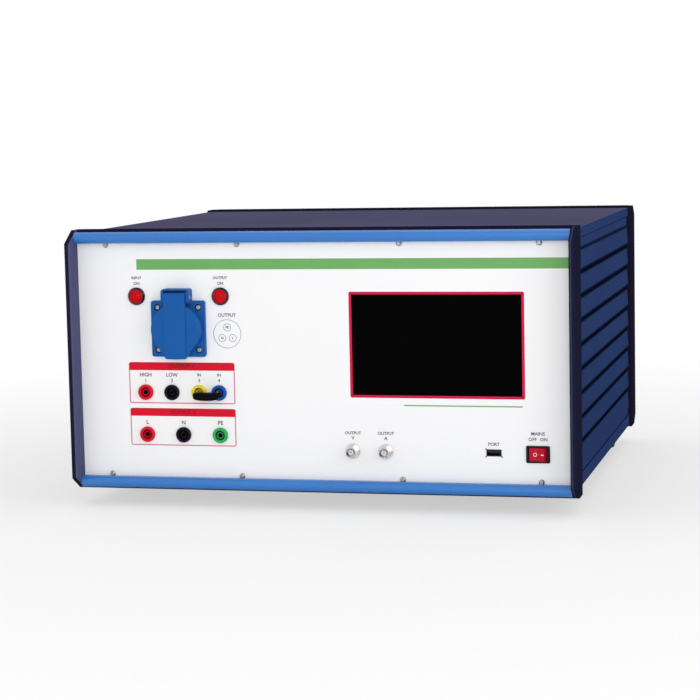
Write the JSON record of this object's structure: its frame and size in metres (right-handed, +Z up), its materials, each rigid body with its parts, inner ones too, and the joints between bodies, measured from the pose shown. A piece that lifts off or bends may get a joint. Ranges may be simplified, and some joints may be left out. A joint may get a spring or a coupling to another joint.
{
  "type": "ring wave generator",
  "caption": "Bench-top surge test generator: white front panel in a dark frame, slatted blue side walls, lidded mains outlet, safety sockets, touch window and rocker switch.",
  "frame": {"origin": "centre of the case's footprint, on the surface that the feet stand on", "axes": "+Z up, the front panel faces -Y, +X to the right as seen from the front"},
  "size_m": [0.4666, 0.469, 0.254],
  "materials": {
    "front_panel": "matt white powder coat, printed",
    "panel_screws": "zinc-plated",
    "posts": "near-black navy powder coat, satin",
    "trims": "satin blue coat",
    "side_walls": "fine-textured dark blue coat",
    "rails": "fine-textured dark blue coat",
    "covers": "fine-textured grey-blue coat",
    "rear_frame": "near-black navy coat, satin",
    "rear_panel": "light grey coat",
    "feet": "matt black",
    "outlet_blue": "satin blue moulding",
    "spring_steel": "bright wire",
    "contact_metal": "bright brass",
    "lamp_metal": "dark polished ring",
    "lamp_red": "clear red",
    "socket_red": "red moulding",
    "socket_black": "black moulding",
    "socket_yellow": "yellow moulding",
    "socket_blue": "blue moulding",
    "socket_green": "green moulding",
    "screen_glass": "black, glossy",
    "module_metal": "plain sheet",
    "bnc_metal": "nickel-plated",
    "insulator": "off-white insulator",
    "black_plastic": "black moulding",
    "rocker_red": "red moulding",
    "guard_wire": "plated wire",
    "plain_sheet": "plain sheet",
    "can_metal": "bright can",
    "winding": "enamelled copper",
    "relay_case": "dark grey moulding",
    "film_capacitor": "blue moulding",
    "board": "green solder mask"
  },
  "bodies": {
    "case": {"front_panel": "front_panel", "front_panel_screws": "panel_screws", "outlet_screws": "panel_screws", "case_screws": "panel_screws", "front_post_left": "posts", "front_post_right": "posts", "front_beam_top": "posts", "front_beam_bottom": "posts", "trim_top": "trims", "trim_bottom": "trims", "side_panel_left": "side_walls", "side_panel_right": "side_walls", "corner_rails": "rails", "top_cover": "covers", "bottom_cover": "covers", "rear_post_left": "rear_frame", "rear_post_right": "rear_frame", "rear_beams": "rear_frame", "rear_panel": "rear_panel", "feet": "feet", "outlet_body": "outlet_blue", "outlet_hinge_pin": "spring_steel", "outlet_spring": "spring_steel", "outlet_contacts": "contact_metal", "socket_tubes": "contact_metal", "earth_terminal": "contact_metal", "lamp_bezels": "lamp_metal", "lamp_lenses": "lamp_red", "red_sockets": "socket_red", "black_sockets": "socket_black", "yellow_socket": "socket_yellow", "blue_socket": "socket_blue", "green_sockets": "socket_green", "touch_window": "screen_glass", "display_module": "module_metal", "bnc_jacks": "bnc_metal", "usb_shell": "bnc_metal", "inlet_pins": "bnc_metal", "bnc_cores": "insulator", "usb_tongue": "insulator", "switch_housing": "black_plastic", "inlet_body": "black_plastic", "fan_frame": "black_plastic", "fan_guard": "guard_wire", "chassis_plate": "plain_sheet", "power_supply": "plain_sheet", "mains_filter": "plain_sheet", "high_voltage_supply": "plain_sheet", "storage_capacitors": "can_metal", "shaping_parts": "winding", "decoupling_inductors": "winding", "relays": "relay_case", "coupling_capacitors": "film_capacitor", "circuit_boards": "board"},
    "lid": {"outlet_lid": "outlet_blue"},
    "rocker": {"switch_rocker": "rocker_red"},
    "bridge_plug": {"bridge_plug_body": "socket_black", "bridge_plug_pins": "contact_metal"},
    "fan_rotor": {"fan_rotor": "black_plastic"},
    "fuse_drawer": {"fuse_drawer": "black_plastic"}
  },
  "joints": [
    {"name": "lid_hinge", "type": "hinge", "parent": "case", "child": "lid", "pos_m": [-0.1315, -0.222, 0.1928], "axis": [-1, 0, 0], "range_deg": [0, 92], "stiffness_Nm_per_rad": 0.012, "springref_deg": -28.65},
    {"name": "rocker_pivot", "type": "hinge", "parent": "case", "child": "rocker", "pos_m": [0.197, -0.2125, 0.0535], "axis": [0, 0, 1], "range_deg": [0, 22]},
    {"name": "plug_pull", "type": "slide", "parent": "case", "child": "bridge_plug", "axis": [0, -1, 0], "range_m": [0, 0.04]},
    {"name": "fan_spin", "type": "hinge", "parent": "case", "child": "fan_rotor", "pos_m": [-0.13, 0.206, 0.1475], "axis": [0, 1, 0], "continuous": true},
    {"name": "drawer_pull", "type": "slide", "parent": "case", "child": "fuse_drawer", "axis": [0, 1, 0], "range_m": [0, 0.02]}
  ]
}
